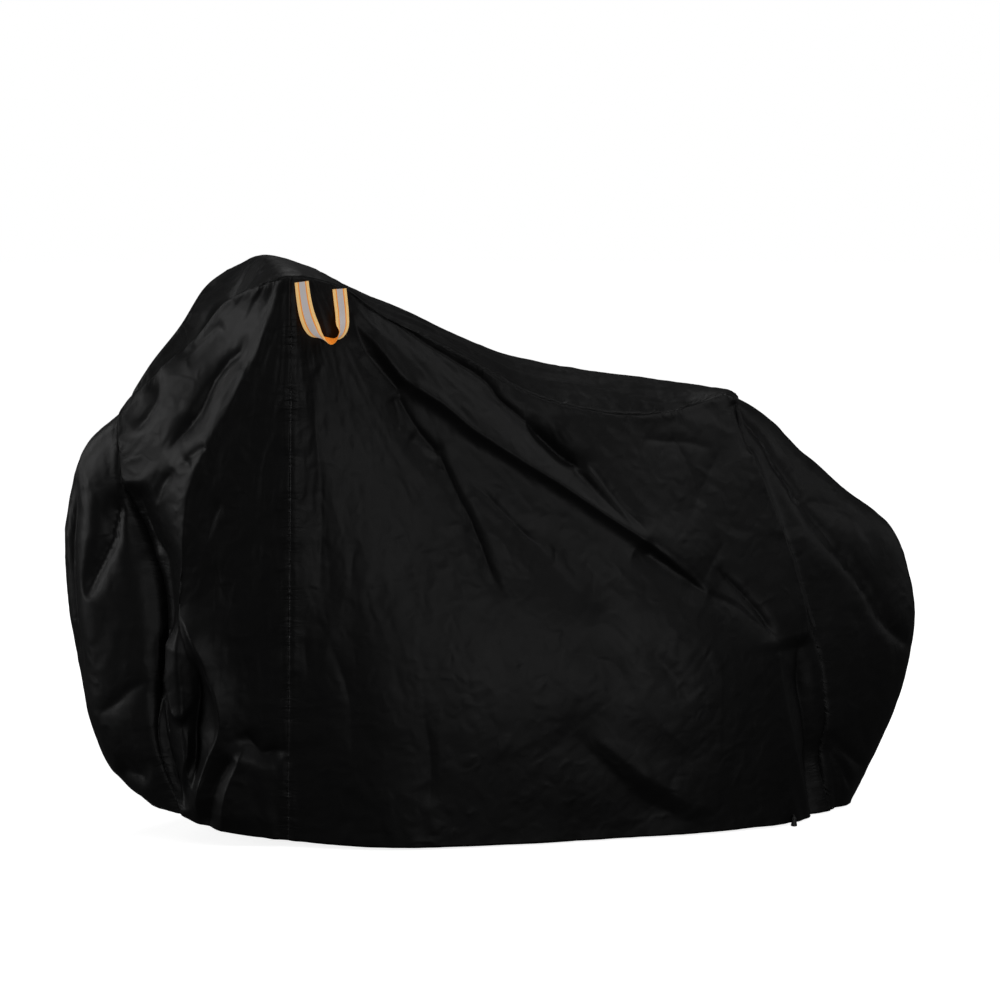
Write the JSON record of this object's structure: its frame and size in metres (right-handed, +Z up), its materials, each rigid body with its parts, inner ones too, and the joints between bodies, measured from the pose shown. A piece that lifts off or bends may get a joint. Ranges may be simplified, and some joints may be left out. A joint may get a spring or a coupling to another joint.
{
  "type": "bicycle cover",
  "caption": "Fitted black coated-cloth cover for a bicycle, hollow and open below, with a long middle strip between side panels, a gathered hem, a webbing loop and a moulded cord end.",
  "frame": {"origin": "the resting point under the cloth at the top of the front peak, on the middle plane", "axes": "+X along the length from the front towards the rear, +Y across towards the far side, +Z up"},
  "size_m": [1.7105, 0.5954, 1.1115],
  "materials": {
    "side_cloth": "black coated polyester with a soft sheen",
    "strip_cloth": "black coated polyester with a soft sheen",
    "webbing": "woven orange webbing with a grey reflective stripe",
    "toggle_plastic": "matte black moulded plastic"
  },
  "bodies": {
    "root": {"near_front_panel": "side_cloth", "near_main_panel": "side_cloth", "far_front_panel": "side_cloth", "far_main_panel": "side_cloth", "middle_strip": "strip_cloth", "hang_loop": "webbing", "drawcord_toggle": "toggle_plastic"}
  },
  "joints": []
}
